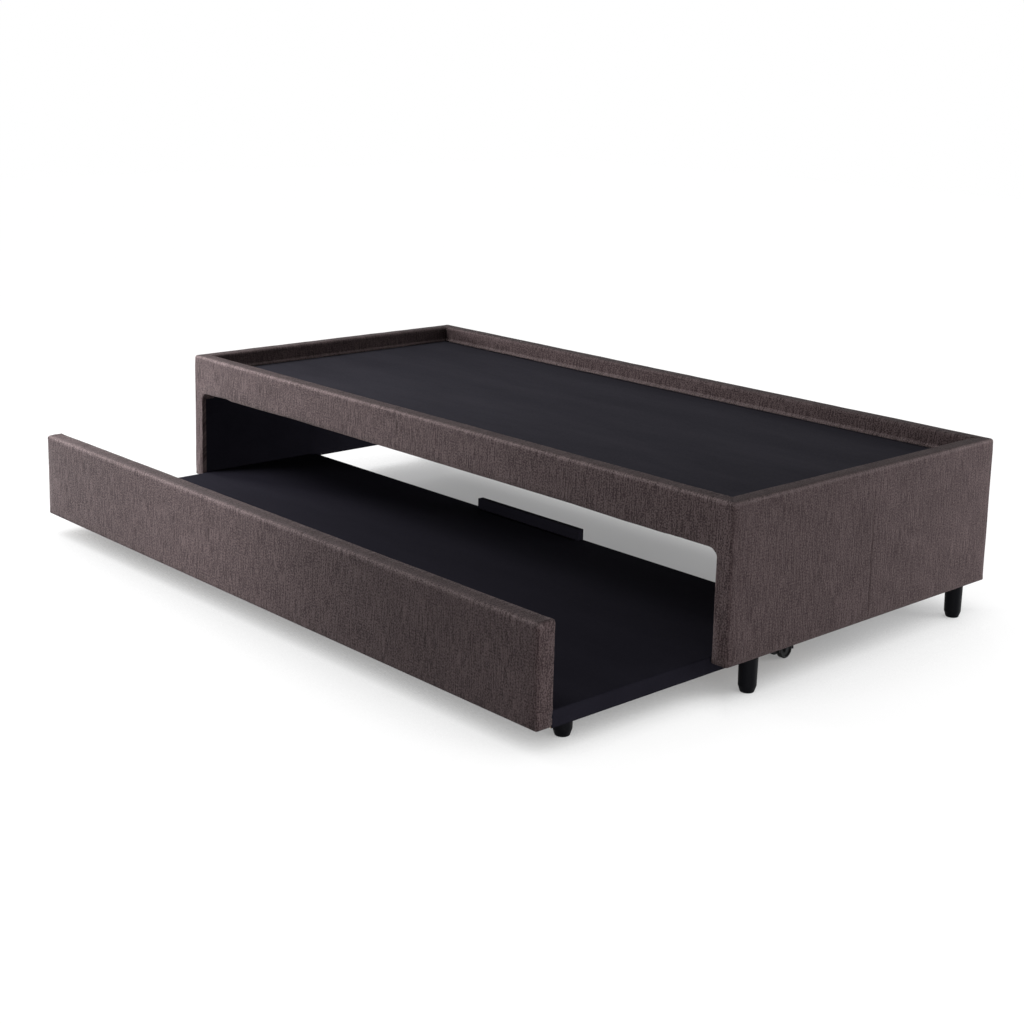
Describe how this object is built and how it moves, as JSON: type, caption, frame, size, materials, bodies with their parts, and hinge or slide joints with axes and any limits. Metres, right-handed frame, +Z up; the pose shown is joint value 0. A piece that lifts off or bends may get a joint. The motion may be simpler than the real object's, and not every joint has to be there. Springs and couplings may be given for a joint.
{
  "type": "trundle bed",
  "caption": "Low upholstered single bed base on round plastic legs, with a sunk mattress deck and a trundle that rolls out from under its front rail on feet and twin-wheel casters.",
  "frame": {"origin": "on the floor, in the middle of the area that the bed base and its part-way pulled-out trundle cover", "axes": "+X along the bed, -Y the way the trundle rolls out, +Z up from the floor"},
  "size_m": [2.09, 1.495, 0.445],
  "materials": {
    "upholstery": "woven chenille with fine upright slubs, taupe brown",
    "black_cloth": "thin black non-woven cloth, matt",
    "pine": "planed softwood, unfinished",
    "hardboard": "pressed brown board, smooth on one face",
    "leg_plastic": "black moulded plastic, fine matt grain",
    "caster_plastic": "black moulded nylon, satin",
    "wheel_plastic": "black nylon, satin tread",
    "zinc_steel": "bright zinc plated"
  },
  "bodies": {
    "bed_base": {"back_cover": "upholstery", "back_rail": "pine", "deck_cover": "black_cloth", "deck_ledger_back": "pine", "deck_ledger_front": "pine", "deck_panel": "hardboard", "deck_slats": "pine", "dust_cover": "black_cloth", "end_board_left": "hardboard", "end_board_right": "hardboard", "end_bottom_rail_left": "pine", "end_bottom_rail_right": "pine", "end_cover_left": "upholstery", "end_cover_right": "upholstery", "end_liner_left": "black_cloth", "end_liner_right": "black_cloth", "end_studs": "pine", "end_top_rail_left": "pine", "end_top_rail_right": "pine", "frame_screws": "zinc_steel", "front_cover": "upholstery", "front_rail": "pine", "leg_back_left": "leg_plastic", "leg_back_right": "leg_plastic", "leg_bolts": "zinc_steel", "leg_front_left": "leg_plastic", "leg_front_right": "leg_plastic", "leg_inserts": "zinc_steel", "opening_corner_blocks": "pine", "post_back_left": "pine", "post_back_right": "pine", "post_front_left": "pine", "post_front_right": "pine"},
    "trundle": {"caster_plate_left": "zinc_steel", "caster_plate_right": "zinc_steel", "caster_screws": "zinc_steel", "mattress_stop": "black_cloth", "panel_bolts": "zinc_steel", "trundle_back_rail": "pine", "trundle_corner_blocks": "pine", "trundle_deck_cover": "black_cloth", "trundle_deck_panel": "hardboard", "trundle_foot_bolts": "zinc_steel", "trundle_foot_left": "leg_plastic", "trundle_foot_right": "leg_plastic", "trundle_front_board": "pine", "trundle_front_cover": "upholstery", "trundle_front_rail": "pine", "trundle_screws": "zinc_steel", "trundle_side_rail_left": "pine", "trundle_side_rail_right": "pine", "trundle_slats": "pine"},
    "caster_left": {"caster_hood_left": "caster_plastic", "caster_axle_left": "zinc_steel"},
    "caster_wheel_left_outer": {"caster_wheel_left_outer": "wheel_plastic"},
    "caster_wheel_left_inner": {"caster_wheel_left_inner": "wheel_plastic"},
    "caster_right": {"caster_hood_right": "caster_plastic", "caster_axle_right": "zinc_steel"},
    "caster_wheel_right_outer": {"caster_wheel_right_outer": "wheel_plastic"},
    "caster_wheel_right_inner": {"caster_wheel_right_inner": "wheel_plastic"}
  },
  "joints": [
    {"name": "trundle_slide", "type": "slide", "parent": "bed_base", "child": "trundle", "axis": [0, -1, 0], "range_m": [-0.505, 0.4]},
    {"name": "caster_swivel_left", "type": "hinge", "parent": "trundle", "child": "caster_left", "pos_m": [-0.927, 0.0695, 0.048], "axis": [0, 0, 1], "continuous": true},
    {"name": "caster_roll_left_outer", "type": "hinge", "parent": "caster_left", "child": "caster_wheel_left_outer", "pos_m": [-0.9415, 0.0855, 0.021], "axis": [1, 0, 0], "continuous": true},
    {"name": "caster_roll_left_inner", "type": "hinge", "parent": "caster_left", "child": "caster_wheel_left_inner", "pos_m": [-0.9125, 0.0855, 0.021], "axis": [1, 0, 0], "continuous": true},
    {"name": "caster_swivel_right", "type": "hinge", "parent": "trundle", "child": "caster_right", "pos_m": [0.927, 0.0695, 0.048], "axis": [0, 0, 1], "continuous": true},
    {"name": "caster_roll_right_outer", "type": "hinge", "parent": "caster_right", "child": "caster_wheel_right_outer", "pos_m": [0.9415, 0.0855, 0.021], "axis": [1, 0, 0], "continuous": true},
    {"name": "caster_roll_right_inner", "type": "hinge", "parent": "caster_right", "child": "caster_wheel_right_inner", "pos_m": [0.9125, 0.0855, 0.021], "axis": [1, 0, 0], "continuous": true}
  ]
}
